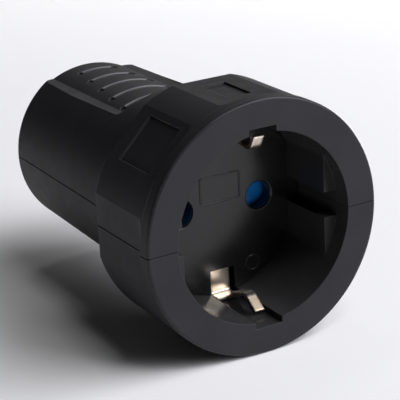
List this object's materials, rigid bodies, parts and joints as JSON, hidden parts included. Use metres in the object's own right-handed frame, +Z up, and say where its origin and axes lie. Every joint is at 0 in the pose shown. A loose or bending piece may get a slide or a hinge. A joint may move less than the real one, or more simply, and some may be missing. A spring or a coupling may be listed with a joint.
{
  "type": "inline socket connector",
  "caption": "Inline mains socket with moulded half shells, a round recessed face with sprung earth clips and shuttered pin holes, a grooved finger grip and a rear cord inlet.",
  "frame": {"origin": "centre of the mating face, at the mouth of the plug recess", "axes": "+X along the line of the pin holes, +Y from the mating face along the handle to the cord inlet, +Z up, with the shells parting on Z = 0"},
  "size_m": [0.0534, 0.0745, 0.0534],
  "materials": {
    "shell": "satin black moulding",
    "insert": "glossy black moulding",
    "shutter": "blue moulding",
    "carrier": "black moulding",
    "brass": "bare brass",
    "steel": "zinc plated",
    "plated_strip": "bright nickel plate on brass"
  },
  "bodies": {
    "socket": {"upper_shell": "shell", "lower_shell": "shell", "socket_insert": "insert", "shutter_spring": "steel", "contact_carrier": "carrier", "line_contact": "brass", "neutral_contact": "brass", "line_contact_ring": "steel", "neutral_contact_ring": "steel", "line_terminal": "brass", "neutral_terminal": "brass", "earth_terminal": "brass", "line_terminal_screw": "steel", "neutral_terminal_screw": "steel", "earth_terminal_screw": "steel", "earth_strip": "plated_strip", "cord_clamp": "carrier", "clamp_screws": "steel", "carrier_screws": "steel", "shell_screws": "steel"},
    "rotor": {"shutter": "shutter"}
  },
  "joints": [
    {"name": "shutter_turn", "type": "hinge", "parent": "socket", "child": "rotor", "pos_m": [0, 0.0222, 0], "axis": [0, 1, 0], "range_deg": [0, 40], "stiffness_Nm_per_rad": 0.004, "springref_deg": -34.38, "deforming": ["shutter_spring"]}
  ]
}
